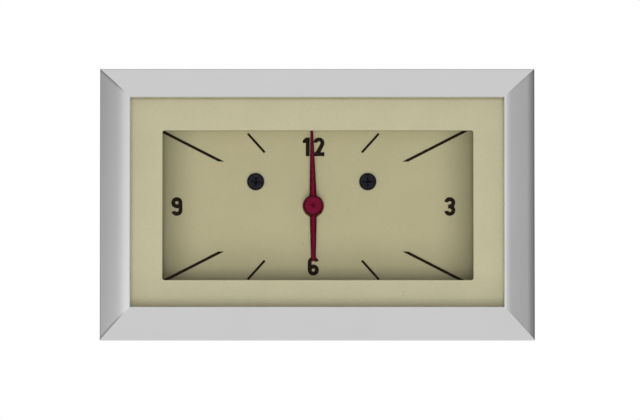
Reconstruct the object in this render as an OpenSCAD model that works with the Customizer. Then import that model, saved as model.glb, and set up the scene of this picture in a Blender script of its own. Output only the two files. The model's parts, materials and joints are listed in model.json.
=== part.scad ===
// Rectangular car dashboard clock with an electrically rewound balance movement.
// Pieces are drawn in a face frame, x to the right, y up and z towards the viewer, and are then
// turned so that the finished clock has +Z up and its face towards -Y. The origin is the middle
// of the bezel, in the plane where the bezel seats on the dashboard panel.

/* [Bezel] */
// Width of the bezel over its outer edges
bezel_w = 108.5; // [106:0.5:116]
// Height of the bezel over its outer edges
bezel_h = 68; // [66:0.5:74]
// Width of each chrome rail, from the outer edge to the sight edge
rail_w = 7.8; // [7.4:0.1:8.6]
// Height of the bezel's outer edge above the panel
rim_h = 2; // [1.8:0.1:3]
// Thickness of the lip that holds the glass
lip_t = 1.8; // [1.2:0.1:2.4]
// How far the lip laps over the glass
lip_lap = 1.5; // [1:0.1:1.8]
// Radius that rounds the crest into the sight edge
crest_r = 0.4; // [0.2:0.1:0.8]
// Fullness of the rail's face: 1 is a flat slope, and more rounds it towards the crest
face_power = 1.6; // [1.2:0.05:2]
// Width of the rim that seats on the panel
seat_w = 2.6; // [2:0.1:3]
// Thickness of the folded holding tabs
tab_t = 0.8; // [0.4:0.1:1.2]
// Length of each holding tab
tab_l = 8; // [5:0.5:12]
// How far each tab reaches behind the case flange
tab_reach = 2; // [1.2:0.1:2.6]

/* [Glass and gasket] */
// Thickness of the glass
glass_t = 1.5; // [1.2:0.1:3]
// Thickness of the gasket between glass and lip
gasket_t = 0.3; // [0.2:0.1:1]

/* [Mask] */
// Width of the mask's window
window_w = 77.6; // [70:0.2:79]
// Height of the mask's window
window_h = 37.6; // [34:0.2:41]
// Sideways place of the window's middle, measured from the middle of the bezel
window_dx = 0.15; // [-0.4:0.05:0.4]
// Height of the window's middle, measured from the middle of the bezel
window_dy = -0.35; // [-0.4:0.05:0.4]
// Corner radius of the window
window_r = 0.6; // [0.3:0.1:3]
// Thickness of the mask's face
mask_t = 1; // [0.6:0.1:1.4]
// Height of the mask's walls from its face to the glass
mask_wall_h = 1.2; // [0.8:0.1:3]
// Thickness of the mask's walls
mask_wall_t = 0.8; // [0.5:0.1:1]

/* [Dial] */
// Width of the dial plate
dial_w = 81; // [80:0.5:82]
// Height of the dial plate
dial_h = 43; // [42:0.5:48]
// Thickness of the dial plate
dial_t = 0.6; // [0.4:0.1:1]
// Depth of the dial behind the mask's face
dial_depth = 6.5; // [5:0.1:8]
// Thickness of the printed ink
print_t = 0.05; // [0.03:0.01:0.1]
// Height of the numerals
numeral_h = 4.7; // [4:0.1:5]
// Width of one digit
numeral_w = 2.8; // [2.4:0.1:3]
// Stroke width of the numerals
numeral_stroke = 1; // [0.7:0.05:1.1]
// Distance from the hand axis to the middle of 3 and 9
numeral_x = 34.1; // [30:0.1:35]
// Distance from the hand axis to the middle of 12 and 6
numeral_y = 15; // [14:0.1:15.6]
// Angle of the long strokes from upright
long_tick_angle = 62.8; // [58:0.1:66]
// Distance from the hand axis, sideways, to the inner ends of the long strokes
long_tick_x = 23; // [21:0.1:25]
// Height above or below the hand axis where the long strokes begin
long_tick_from = 11.3; // [9:0.1:13]
// Upright length of the long strokes' outer ends, which the mask hides
long_tick_hidden = 0.6; // [0.4:0.1:1]
// Width of the long strokes
long_tick_w = 0.7; // [0.4:0.02:1]
// Angle of the short strokes from 12 or 6 o'clock
short_tick_angle = 41.8; // [30:0.1:46]
// Radius where the short strokes begin
short_tick_inner = 18.2; // [16:0.1:20]
// Radius where the short strokes end
short_tick_outer = 24.6; // [22:0.1:26]
// Width of the short strokes
short_tick_w = 0.58; // [0.4:0.02:1]
// Half the distance between the two dial screws
dial_screw_x = 14; // [13:0.1:16]
// Sideways place of the dial screws' middle, measured from the hand axis
dial_screw_dx = -0.4; // [-0.8:0.1:0.8]
// Height of the dial screws above the hand axis
dial_screw_y = 6.2; // [5:0.1:8]
// Head diameter of the dial screws
dial_screw_d = 4.3; // [3.6:0.1:5]

/* [Hands] */
// Sideways place of the hand axis, measured from the middle of the bezel
axis_dx = -1; // [-1.4:0.1:1.4]
// Length of the minute hand from the axis
minute_len = 18.8; // [16:0.1:20]
// Width of the minute hand beside the hub
minute_w = 1.95; // [1.4:0.05:2.4]
// Width of the minute hand at its tip
minute_tip_w = 0.65; // [0.4:0.05:1]
// Length of the hour hand from the axis
hour_len = 13.8; // [11:0.1:16]
// Width of the hour hand beside the hub
hour_w = 1.85; // [1.4:0.05:2.4]
// Width of the hour hand at its tip
hour_tip_w = 1.15; // [0.6:0.05:1.6]
// Diameter of the round hub
hub_d = 5.1; // [4.8:0.1:6]
// Thickness of each hand without its ridge
hand_t = 0.4; // [0.3:0.05:0.6]
// Height of the ridge along each hand
ridge_h = 0.25; // [0.1:0.05:0.3]
// Gap between the dial and the hour hand
hour_gap = 1.1; // [0.8:0.1:1.6]
// Gap between the hour hand's ridge and the minute hand
hand_gap = 0.5; // [0.3:0.05:0.8]
// Clockwise angle of the minute hand at rest, from 12 o'clock
minute_rest = -1.2; // [-180:0.1:180]
// Clockwise angle of the hour hand at rest, from 12 o'clock
hour_rest = 179.9; // [-180:0.1:180]

/* [Case] */
// Sheet thickness of the case tray
case_wall = 1; // [0.8:0.1:1.2]
// Corner radius of the drawn case tray
case_r = 3; // [2:0.5:4]
// Thickness of the case flange
flange_t = 1.4; // [0.8:0.1:1.8]
// Outer radius of the rear can
can_r = 26; // [25.6:0.1:26.4]
// Sheet thickness of the rear can
can_wall = 0.8; // [0.5:0.1:1]
// Radius that rounds the far edge of the rear can
can_edge_r = 1.8; // [1.2:0.1:2]
// Free depth between the back plate and the can's end
rear_space = 6.4; // [5:0.1:10]
// Radius of the mounting studs
stud_r = 2; // [1.5:0.25:2.5]
// Length of the mounting studs behind the case
stud_l = 20; // [12:0.5:30]
// Distance between the two mounting studs
stud_pitch = 80; // [76:0.5:82]
// Height of the lamps above the middle of the case
lamp_y = 14; // [8:0.5:18]
// Radius of the lamp bulbs
bulb_r = 2.4; // [1.8:0.1:2.5]
// Radius of the setting knob
knob_r = 6; // [4:0.25:7]
// Length of the setting knob
knob_l = 9; // [6:0.5:14]

/* [Movement] */
// Thickness of the movement plates
plate_t = 1.5; // [1.2:0.1:2]
// Distance between the movement plates
plate_gap = 14; // [13.8:0.1:18]
// Distance from the dial to the front plate, for the motion work
motion_gap = 5.6; // [4.4:0.1:8]
// Radius of the balance wheel
balance_r = 8.2; // [7:0.1:8.4]
// Swing of the armature arm as the drive spring runs down, in degrees
armature_swing = 11; // [6:0.5:12]

/* [Hidden] */
$fn = 64;
// Overshoot that carries a cut clear of the face that it starts from
cut = 1;
// Gap round a piece that drops into a pocket
fit_gap = 0.1;
// Gap round the case flange in the back of the bezel
flange_gap = 0.2;
// Gap between a wheel's bore and the arbor that it is pressed on
press_gap = 0.02;
// Gap round a pivot or pipe that turns
run_gap = 0.05;
// End shake of an arbor between the plates
end_shake = 0.15;

// Stack from the panel seat forward to the crest of the bezel
z_flange_back = tab_t;
z_flange = z_flange_back + flange_t;
z_mask = z_flange + mask_t;
z_glass_back = z_mask + mask_wall_h;
z_glass = z_glass_back + glass_t;
z_lip = z_glass + gasket_t;
z_crest = z_lip + lip_t;

// Stack from the mask back to the end of the rear can
z_dial = z_mask - dial_depth;
z_dial_back = z_dial - dial_t;
z_plate = z_dial_back - motion_gap;
z_train = z_plate - plate_t;
z_floor_back = z_train - case_wall;
z_back_plate = z_train - plate_gap;
z_back_plate_rear = z_back_plate - plate_t;
z_can_inner = z_back_plate_rear - rear_space;
z_can_back = z_can_inner - can_wall;

// Outlines that follow the bezel
sight_w = bezel_w - 2 * rail_w;
sight_h = bezel_h - 2 * rail_w;
pocket_w = sight_w + 2 * lip_lap;
pocket_h = sight_h + 2 * lip_lap;
lens_w = pocket_w - 2 * fit_gap;
lens_h = pocket_h - 2 * fit_gap;
flange_pocket_w = bezel_w - 2 * seat_w;
flange_pocket_h = bezel_h - 2 * seat_w;
flange_w = flange_pocket_w - 2 * flange_gap;
flange_h = flange_pocket_h - 2 * flange_gap;
tray_lap = 2.5;
case_w = sight_w + tray_lap;
case_h = sight_h + tray_lap;

// Hands
z_hour = z_dial + hour_gap;
z_minute = z_hour + hand_t + ridge_h + hand_gap;
hub_h = hand_t + 0.6;
hub_bevel_w = 0.5;
hub_bevel_h = 0.3;
hub_dimple_r = 0.5;
cannon_pipe_r = 1.5;
centre_arbor_r = 0.96;
centre_collar_r = 1.6;
centre_collar_l = 0.9;
cannon_bore_r = centre_arbor_r + 0.04;
hour_pipe_bore_r = cannon_pipe_r + run_gap;
hour_pipe_r = hour_pipe_bore_r + 0.75;
dial_bore_r = hour_pipe_r + 0.4;

// Gear teeth
pressure_angle = 20;
backlash = 0.08;
addendum = 0.9;
leaf_addendum = 0.6;
dedendum = 1.2;
flank_steps = 3;
motion_module = 0.4;
train_module = 0.32;
leaf_shift = 0.5;
cannon_teeth = 15;
minute_wheel_teeth = 45;
minute_pinion_teeth = 12;
hour_wheel_teeth = 48;
cannon_shift = 0.12;
minute_pinion_shift = 0.3;
leaves = 8;
centre_teeth = 64;
third_teeth = 60;
fourth_teeth = 48;
escape_teeth = 20;
ratchet_teeth = 24;

// Places of the arbors, measured from the hand axis
function polar(r, a) = [r * cos(a), r * sin(a)];
function mesh_distance(na, nb, m) = (na + nb) * m / 2;
motion_centres = mesh_distance(cannon_teeth, minute_wheel_teeth, motion_module);
minute_dir = -90;
minute_xy = polar(motion_centres, minute_dir);
set_dir = -20;
set_xy = minute_xy + polar(motion_centres, set_dir);
third_dir = 45;
third_xy = polar(mesh_distance(centre_teeth, leaves, train_module), third_dir);
fourth_dir = 162;
fourth_xy = third_xy + polar(mesh_distance(third_teeth, leaves, train_module), fourth_dir);
escape_dir = 205;
escape_xy = fourth_xy + polar(mesh_distance(fourth_teeth, leaves, train_module), escape_dir);
lever_dir = 236;
lever_reach = 5.9;
lever_xy = escape_xy + polar(lever_reach, lever_dir);
fork_dir = 275;
fork_reach = 9.7;
fork_l = 3.4;
fork_open = 28;
balance_xy = lever_xy + polar(fork_reach, fork_dir);
dial_screw_xy = [for (side = [-1, 1]) [dial_screw_dx + side * dial_screw_x, dial_screw_y]];
pillar_angles = [5, 78, 140, 265];
pillar_circle = 20.3;
train_xy = [third_xy, fourth_xy, escape_xy, lever_xy, balance_xy];

// Levels in the train, as depths behind the front plate
centre_level = 1.4;
ratchet_level = 2.9;
escape_level = 4;
arm_level = 4.1;
lever_level = 5.2;
roller_level = 6.2;
third_level = 6.3;
balance_level = 8.2;
fourth_level = 10.1;
hairspring_level = 11.2;
wheel_t = 0.6;
ratchet_t = 0.8;
arm_t = 1;
balance_t = 1.6;
leaf_over = 0.4;

// Arbors, posts and pillars
arbor_r = 0.8;
pivot_r = 0.5;
pivot_hole_r = pivot_r + run_gap;
set_arbor_r = 1;
knob_shoulder = 1;
knob_grooves = 24;
knob_groove_r = 0.55;
minute_post_r = 0.75;
pillar_r = 2;
pillar_spigot_r = 1.1;
pillar_thread_l = plate_gap * 0.4;
dial_post_r = 2;
dial_spigot_r = dial_post_r * 0.7;
dial_thread_r = 1;
dial_screw_head_h = 0.8;
m25_r = 1.25;
m25_hole_r = m25_r + 0.1;
m25_head_r = 2.2;
m25_head_h = 1.3;

// Studs that are pressed into the case floor
stud_shoulder_r = stud_r + 0.3;
stud_head_r = stud_r + 1.2;
stud_head_t = 1;

// Movement outline and the screws that carry it
back_plate_r = can_r - can_wall - 2;
floor_hole_r = can_r - can_wall - 1;
cover_screw_out = 3.5;
cover_screw_x = can_r + cover_screw_out;
front_plate_edge = 2.5;
front_plate_w = 2 * (cover_screw_x + front_plate_edge);
front_plate_h = 46;
plate_screw_inset = 3;
plate_screw_x = front_plate_w / 2 - plate_screw_inset;
plate_screw_y = 15;
// Kept inside the height of the case tray, so that the clock passes through its aperture
cover_lap = 0.6;
cover_flange_r = can_r + cover_lap;
ear_r = 3;

// Electric rewinding
ratchet_r = 5;
ratchet_root_r = 4.3;
ratchet_clear = 0.2;
coil_y = -7;
coil_x0 = 4;
coil_l = 13;
coil_r = 4.5;
coil_level = 8.2;
core_r = 2;
flange_coil_t = 0.8;
bobbin_r = core_r + 0.6;
winding_r = coil_r - 0.3;
pole_x = 2.6;
pole_gap = 0.2;
yoke_t = 1.4;
yoke_h = 7.5;
yoke_screw_r = 1;
yoke_screw_head_r = 1.9;
yoke_screw_head_h = 1.1;
yoke_screw_inset = 2;
armature_t = 2;
arm_end_y = -13;
arm_w = 3;
arm_boss_r = 2.6;
spring_eye_r = 0.5;
pawl_pivot = [0.2, -7.8];
pawl_tip_dir = 232;
click_pivot = [-11.5, -1.5];
click_tip_dir = 165;
pawl_pin_r = 0.5;
pawl_w = 0.9;
pawl_heel = 0.5;
pawl_eye = 0.6;
click_post_r = 0.7;
spring_hook = [1.2, -12.2];
spring_post_xy = [-8, -14.5];
spring_post_r = 0.8;
drive_coil_r = 1.1;
drive_wire_r = 0.18;
drive_turns = 10;
drive_hook_l = 1.4;
armature_h = 5.5;
contact_blade_t = 0.25;
contact_gap = 0.15;
contact_block_y = -16.4;
// The armature's leading corner, and how far left it comes at the end of the swing
armature_corner = [pole_x - pole_gap - armature_t, coil_y - armature_h / 2];
contact_x = armature_corner[0] * cos(armature_swing) + armature_corner[1] * sin(armature_swing)
    - contact_gap - contact_blade_t / 2;

// Balance, lever and regulator
staff_r = 0.6;
balance_rim_w = 1.3;
balance_hub_r = 2;
balance_arm_w = 1.4;
roller_r = 1.7;
impulse_r = 1.3;
impulse_pin_r = 0.2;
escape_r = 4.6;
escape_root_r = 3.5;
lever_w = 1.2;
horn_w = 0.6;
horn_r = 2;
pallet_w = 0.9;
pallet_spread = 50;
pallet_pin_r = 0.2;
pallet_circle = 5.2;
hairspring_r = 4.7;
hairspring_r0 = 1.2;
hairspring_turns = 5;
hairspring_t = 0.15;
hairspring_h = 0.4;
hairspring_stud_r = 0.6;
stud_dir = 60;
regulator_dir = 208;
regulator_reach = 6.5;
regulator_swing = 18;
regulator_t = 0.6;
regulator_boss_r = 2.2;
regulator_w = 1.6;
regulator_gap = 0.1;
finger_r = 0.6;
finger_gap = 0.3;
finger_out = 1.5;
curb_pin_r = 0.2;
curb_gap = 0.15;
// Radius of the spiral's outer coil where the regulator holds it
curb_r = hairspring_r - (hairspring_r - hairspring_r0)
    * ((stud_dir - regulator_dir + 360) % 360) / (360 * hairspring_turns);

// Terminals and lamps
terminal_xy = [-4, 15];
terminal_stem_r = 1.5;
terminal_head_r = 2.6;
terminal_head_t = 0.8;
insulator_neck_r = 2.4;
insulator_r = 4.2;
insulator_t = 1.2;
blade_w = 6.3;
blade_t = 0.8;
blade_l = 9;
lamp_nose_r = bulb_r + 0.6;
lamp_flange_r = lamp_nose_r + 0.8;
lamp_wall_gap = 0.4;
bulb_gap = 0.3;
lamp_x = case_w / 2 - case_wall - lamp_nose_r - lamp_wall_gap;
lamp_nose_l = 3;
lamp_body_l = 8;
bulb_l = 5;

// Colours
chrome = [0.79, 0.79, 0.79];
cream_mask = [0.77, 0.75, 0.62];
cream_dial = [0.71, 0.67, 0.53];
ink = [0.14, 0.1, 0.09];
crimson = [0.45, 0.08, 0.18];
black_oxide = [0.09, 0.08, 0.09];
zinc = [0.66, 0.66, 0.62];
brass = [0.72, 0.57, 0.27];
steel = [0.6, 0.61, 0.63];
blue_steel = [0.22, 0.28, 0.42];
copper = [0.64, 0.33, 0.18];
fibre = [0.36, 0.2, 0.13];
bakelite = [0.12, 0.09, 0.08];
clear_glass = [0.85, 0.9, 0.9, 0.3];
dark_rubber = [0.1, 0.1, 0.1];

// Turns the face frame into the finished frame
module face() rotate([90, 0, 0]) children();
module at_axis() face() translate([axis_dx, 0, 0]) children();
module on(xy) translate([xy[0], xy[1], 0]) children();

// Upright solids between two heights
module disc(r, z0, z1) translate([0, 0, min(z0, z1)]) cylinder(r = r, h = abs(z1 - z0));
module ring(ro, ri, z0, z1) {
    difference() {
        disc(ro, z0, z1);
        disc(ri, min(z0, z1) - cut, max(z0, z1) + cut);
    }
}
module slab(w, h, z0, z1)
    translate([0, 0, (z0 + z1) / 2]) cube([w, h, abs(z1 - z0)], center = true);
module layer(z0, z1) translate([0, 0, min(z0, z1)]) linear_extrude(abs(z1 - z0)) children();
// A slab whose four upright edges are rounded
module round_slab(w, h, r, z0, z1) {
    slab(w - 2 * r, h, z0, z1);
    slab(w, h - 2 * r, z0, z1);
    for (sx = [-1, 1], sy = [-1, 1])
        translate([sx * (w / 2 - r), sy * (h / 2 - r), 0]) disc(r, z0, z1);
}
// A drum whose far edge, at z0, is rounded
module drum(r, edge, z0, z1) {
    disc(r, z0 + edge, z1);
    disc(r - edge, z0, z0 + edge);
    translate([0, 0, z0 + edge]) rotate_extrude() translate([r - edge, 0]) intersection() {
        circle(edge);
        translate([0, -edge]) square(edge);
    }
}

// Points round the end of a bar or slot, on the side that faces dir
end_step = 7.5;
function round_end(p, r, dir, reach) = [for (a = [-reach:end_step:reach]) p + polar(r, dir + a)];

// A bar with round ends between two points
module bar(p, q, w, z0, z1) {
    dir = atan2(q[1] - p[1], q[0] - p[0]);
    layer(z0, z1) polygon(concat(round_end(q, w / 2, dir, 90), round_end(p, w / 2, dir + 180, 90)));
}

// A curved slot about the origin, with round ends
module arc_slot(r, half_w, dir, swing, z0, z1) {
    turns = [for (i = [0:arc_steps]) swing * (2 * i / arc_steps - 1)];
    layer(z0, z1) polygon(concat(
        [for (t = turns) polar(r + half_w, dir + t)],
        round_end(polar(r, dir + swing), half_w, dir + swing + 90, 90 - end_step),
        [for (t = turns) polar(r - half_w, dir - t)],
        round_end(polar(r, dir - swing), half_w, dir - swing - 90, 90 - end_step)
    ));
}
arc_steps = 12;

// Depth behind the front plate, turned into a height
function depth(d) = z_train - d;

// Involute teeth: half the angle of a tooth at a radius, and the outline of a whole gear
function involute(a) = tan(a) * 180 / PI - a;
function tooth_half(n, m, shift, r) =
    let (
        width = m * (PI / 2 + 2 * shift * tan(pressure_angle)) - backlash,
        base_r = n * m / 2 * cos(pressure_angle)
    )
    width / (n * m) * 180 / PI + involute(pressure_angle) - involute(acos(min(1, base_r / r)));
function gear_r(n, m) = n * m / 2;
function gear_tip_r(n, m, shift, add) = m * (n / 2 + add + shift);
function gear_root_r(n, m, shift) = m * (n / 2 - dedendum + shift);
function gear_points(n, m, shift, add) =
    let (
        r0 = gear_root_r(n, m, shift),
        r1 = gear_tip_r(n, m, shift, add),
        radii = [for (i = [0:flank_steps]) r0 + (r1 - r0) * i / flank_steps]
    )
    [for (i = [0:n - 1]) each concat(
        [for (r = radii) polar(r, 360 * i / n - tooth_half(n, m, shift, r))],
        [for (j = [flank_steps:-1:0]) polar(radii[j], 360 * i / n + tooth_half(n, m, shift, radii[j]))]
    )];
module gear(n, m, shift, add, turn, z0, z1)
    layer(z0, z1) rotate(turn) polygon(gear_points(n, m, shift, add));

// Turn at which gear b meshes with gear a, when b lies in direction dir from a
function mesh_turn(na, turn_a, nb, dir) = dir + 180 + 180 / nb - (turn_a - dir) * na / nb;

// Pointed teeth for the ratchet and escape wheels, steep on the clockwise side
module saw_teeth(n, r_tip, r_root, z0, z1)
    layer(z0, z1) polygon([for (i = [0:n - 1]) each [
        polar(r_tip, 360 * i / n),
        polar(r_tip, 360 * (i + 0.04) / n),
        polar(r_root, 360 * (i + 0.2) / n),
        polar(r_root, 360 * (i + 0.92) / n)
    ]]);

// A wheel blank of working radius r with its teeth already cut, given a bore and lightening holes
hole_at = 0.6;
hole_share = 0.19;
module pierced(r, bore, holes, z0, z1) {
    difference() {
        children();
        disc(bore, z0 - cut, z1 + cut);
        for (i = [0:holes - 1])
            rotate(360 * i / holes + 180 / holes) translate([hole_at * r, 0, 0])
                disc(hole_share * r, z0 - cut, z1 + cut);
    }
}

// An arbor between the plates, with a pivot in each
module arbor(r) {
    disc(r, z_back_plate + end_shake, z_train - end_shake);
    disc(pivot_r, z_back_plate_rear, z_plate);
}

// An eight-leaf pinion on an arbor at a depth
module leaf_pinion(level, turn)
    gear(leaves, train_module, leaf_shift, leaf_addendum, turn,
        depth(level + wheel_t + leaf_over), depth(level - leaf_over));

// A screw along -z: pan head above z, shank below it, with a slot or a cross recess
head_bevel = 0.3;
module screw(head_r, head_h, shank_r, shank_l, z, cross = false) {
    bevel = head_bevel * head_h;
    difference() {
        union() {
            disc(head_r, z, z + head_h - bevel);
            translate([0, 0, z + head_h - bevel]) cylinder(r1 = head_r, r2 = head_r - 2 * bevel, h = bevel);
        }
        for (a = cross ? [0, 90] : [0])
            rotate(a) slab(cross ? head_r * 1.1 : head_r * 3, head_h * 0.6,
                z + head_h * 0.45, z + head_h + cut);
    }
    disc(shank_r, z - shank_l, z);
}

// Bezel
face_steps = 12;
crest_step = 30;
// The face rises steeply from the rim and flattens towards the crest
function face_point(t) =
    [(rail_w - crest_r) * t, rim_h + (z_crest - rim_h) * (1 - pow(1 - t, face_power))];
// One side of the bezel's outer form and of the sight opening, as distances in from the outer edge
outer_side = concat([[0, 0], [0, rim_h]], [for (i = [1:face_steps]) face_point(i / face_steps)]);
sight_side = concat(
    [[rail_w, -cut]],
    [for (a = [0:crest_step:90]) [rail_w - crest_r, z_crest - crest_r] + polar(crest_r, a)],
    [[rail_w / 2, z_crest + cut]]
);
function both_sides(side, span) = concat(
    [for (p = side) [p[0] - span / 2, p[1]]],
    [for (i = [len(side) - 1:-1:0]) [span / 2 - side[i][0], side[i][1]]]
);

// A side carried round the rectangle, which mitres its corners
module round_bezel(side) {
    intersection() {
        rotate([90, 0, 0]) linear_extrude(bezel_h + 2 * cut, center = true)
            polygon(both_sides(side, bezel_w));
        rotate([90, 0, 90]) linear_extrude(bezel_w + 2 * cut, center = true)
            polygon(both_sides(side, bezel_h));
    }
}

// A holding tab rooted in the rim, on the side that faces +y
tab_root = 0.5;
module tab(x, pocket) translate([x, (pocket - tab_reach + tab_root) / 2, 0])
    slab(tab_l, tab_reach + tab_root, 0, tab_t);

module bezel() color(chrome) face() {
    difference() {
        round_bezel(outer_side);
        round_bezel(sight_side);
        slab(pocket_w, pocket_h, z_flange - cut, z_lip);
        slab(flange_pocket_w, flange_pocket_h, -cut, z_flange);
    }
    for (turn = [0, 180]) {
        rotate(turn) for (side = [-1, 1]) tab(side * bezel_w / 4, flange_pocket_h);
        rotate(turn + 90) tab(0, flange_pocket_w);
    }
}

module bezel_gasket() color(dark_rubber) face() difference() {
    slab(lens_w, lens_h, z_glass, z_lip);
    slab(sight_w + 2 * fit_gap, sight_h + 2 * fit_gap, z_glass - cut, z_lip + cut);
}

module glass() color(clear_glass) face() slab(lens_w, lens_h, z_glass_back, z_glass);

module mask() color(cream_mask) face() difference() {
    slab(lens_w, lens_h, z_flange, z_glass_back);
    slab(lens_w - 2 * mask_wall_t, lens_h - 2 * mask_wall_t, z_mask, z_glass_back + cut);
    translate([window_dx, window_dy, 0])
        round_slab(window_w, window_h, window_r, z_flange - cut, z_glass_back + cut);
}

// Dial and its print
module dial() color(cream_dial) face() difference() {
    slab(dial_w, dial_h, z_dial_back, z_dial);
    for (side = [-1, 1])
        translate([side * lamp_x, lamp_y, 0]) disc(bulb_r + bulb_gap, z_dial_back - cut, z_dial + cut);
    translate([axis_dx, 0, 0]) {
        disc(dial_bore_r, z_dial_back - cut, z_dial + cut);
        for (p = dial_screw_xy) on(p) disc(dial_thread_r + fit_gap, z_dial_back - cut, z_dial + cut);
    }
}

// Round bowl of a digit, centred on the origin, kept between two angles
bowl_r = numeral_w / 2;
bowl_y = numeral_h / 2 - bowl_r;
module bowl(a0, a1) {
    difference() {
        circle(bowl_r);
        circle(bowl_r - numeral_stroke);
        polygon(concat([[0, 0]], [for (i = [0:8]) polar(3 * bowl_r, a1 + (360 + a0 - a1) * i / 8)]));
    }
}
module full_bowl() {
    difference() {
        circle(bowl_r);
        circle(bowl_r - numeral_stroke);
    }
}
// The flag of the 1 reaches out from the stem and drops from the top, in strokes
flag_reach = 1.25;
flag_drop = [0.75, 1.4];
module digit_1() {
    top = numeral_h / 2;
    out = -numeral_stroke * flag_reach;
    translate([-numeral_stroke / 2, -top]) square([numeral_stroke, numeral_h]);
    polygon([
        [-numeral_stroke / 2, top], [0, top], [0, top - numeral_stroke * flag_drop[1]],
        [out, top - numeral_stroke * flag_drop[1]], [out, top - numeral_stroke * flag_drop[0]]
    ]);
}
module digit_2() {
    translate([0, bowl_y]) bowl(-25, 175);
    translate([-bowl_r, -numeral_h / 2]) square([numeral_w, numeral_stroke]);
    polygon([
        [-bowl_r, -numeral_h / 2], [-bowl_r + numeral_stroke * 1.3, -numeral_h / 2],
        [bowl_r * cos(25), bowl_y - bowl_r * sin(25)],
        [(bowl_r - numeral_stroke) * cos(25), bowl_y - (bowl_r - numeral_stroke) * sin(25)]
    ]);
}
module digit_3() {
    translate([0, bowl_y]) bowl(-90, 170);
    translate([0, -bowl_y]) bowl(-170, 90);
    translate([-bowl_r * 0.3, -numeral_stroke / 2]) square([bowl_r * 0.4, numeral_stroke]);
}
module digit_6() {
    translate([0, -bowl_y]) full_bowl();
    translate([0, bowl_y]) bowl(15, 180);
    translate([-bowl_r, -bowl_y]) square([numeral_stroke, 2 * bowl_y]);
}
module short_tick(angle) rotate(-angle) translate([-short_tick_w / 2, short_tick_inner])
    square([short_tick_w, short_tick_outer - short_tick_inner]);

// A long stroke has a level inner end, and runs on until it is hidden behind the edge of the mask
// or stops short of the dial's edge
print_margin = 0.3;
long_tick_to = window_h / 2 + abs(window_dy) + long_tick_hidden;
long_tick_half = long_tick_w / 2 / cos(long_tick_angle);
module long_tick(side) {
    near = side * long_tick_x;
    far = side * (long_tick_x + (long_tick_to - long_tick_from) * tan(long_tick_angle));
    polygon([
        [near - long_tick_half, long_tick_from], [near + long_tick_half, long_tick_from],
        [far + long_tick_half, long_tick_to], [far - long_tick_half, long_tick_to]
    ]);
}

module dial_print() color(ink) at_axis() layer(z_dial, z_dial + print_t) {
    translate([-numeral_w / 2, numeral_y]) digit_1();
    translate([numeral_w / 2, numeral_y]) digit_2();
    translate([numeral_x, 0]) digit_3();
    translate([0, -numeral_y]) digit_6();
    translate([-numeral_x, 0]) rotate(180) digit_6();
    for (side = [-1, 1], flip = [0, 180]) rotate(flip) short_tick(side * short_tick_angle);
    intersection() {
        for (side = [-1, 1], flip = [0, 180]) rotate(flip) long_tick(side);
        translate([-axis_dx, 0])
            square([dial_w - 2 * print_margin, dial_h - 2 * print_margin], center = true);
    }
}

module at_dial_screws() at_axis() for (p = dial_screw_xy) on(p) children();

module dial_screws() color(black_oxide) at_dial_screws()
    screw(dial_screw_d / 2, dial_screw_head_h, dial_thread_r, motion_gap * 0.8, z_dial, cross = true);

module dial_posts() color(brass) at_dial_screws() difference() {
    union() {
        disc(dial_post_r, z_plate, z_dial_back);
        disc(dial_spigot_r, z_train, z_plate);
    }
    disc(dial_thread_r, z_dial_back - motion_gap * 0.9, z_dial_back + cut);
}

// Case tray, rear can and what is fixed to them
module case_shell() color(zinc) face() difference() {
    union() {
        slab(flange_w, flange_h, z_flange_back, z_flange);
        round_slab(case_w, case_h, case_r, z_floor_back, z_flange);
    }
    round_slab(case_w - 2 * case_wall, case_h - 2 * case_wall, case_r - case_wall, z_train, z_flange + cut);
    translate([axis_dx, 0, 0]) {
        disc(floor_hole_r, z_floor_back - cut, z_train + cut);
        for (sx = [-1, 1], sy = [-1, 1])
            translate([sx * plate_screw_x, sy * plate_screw_y, 0])
                disc(m25_r, z_floor_back - cut, z_train + cut);
        for (side = [-1, 1])
            translate([side * cover_screw_x, 0, 0]) disc(m25_r, z_floor_back - cut, z_train + cut);
    }
    for (side = [-1, 1]) {
        translate([side * stud_pitch / 2, 0, 0])
            disc(stud_shoulder_r + press_gap, z_floor_back - cut, z_train + cut);
        translate([side * lamp_x, lamp_y, 0])
            disc(lamp_nose_r + fit_gap, z_floor_back - cut, z_train + cut);
    }
}

module movement_cover() color(zinc) at_axis() difference() {
    union() {
        drum(can_r, can_edge_r, z_can_back, z_floor_back);
        disc(cover_flange_r, z_floor_back - can_wall, z_floor_back);
        bar([-cover_screw_x, 0], [cover_screw_x, 0], 2 * ear_r, z_floor_back - can_wall, z_floor_back);
    }
    drum(can_r - can_wall, can_edge_r - can_wall, z_can_inner, z_floor_back + cut);
    for (side = [-1, 1])
        translate([side * cover_screw_x, 0, 0])
            disc(m25_hole_r, z_floor_back - can_wall - cut, z_floor_back + cut);
    on(set_xy) disc(set_arbor_r + 2 * run_gap, z_can_back - cut, z_can_inner + cut);
    on(terminal_xy) disc(insulator_neck_r + fit_gap, z_can_back - cut, z_can_inner + cut);
    on(balance_xy) arc_slot(regulator_reach, finger_r + finger_gap, regulator_dir, regulator_swing,
        z_can_back - cut, z_can_inner + cut);
}

module cover_screws() color(steel) at_axis() for (side = [-1, 1])
    translate([side * cover_screw_x, 0, z_floor_back - can_wall]) mirror([0, 0, 1])
        screw(m25_head_r, m25_head_h, m25_r, can_wall + case_wall + plate_t, 0);

module mounting_studs() color(steel) face() for (side = [-1, 1])
    translate([side * stud_pitch / 2, 0, 0]) {
        disc(stud_r, z_floor_back - stud_l, z_floor_back);
        disc(stud_shoulder_r, z_floor_back, z_train);
        disc(stud_head_r, z_train, z_train + stud_head_t);
    }

module at_lamps() face() for (side = [-1, 1]) translate([side * lamp_x, lamp_y, 0]) children();

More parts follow.
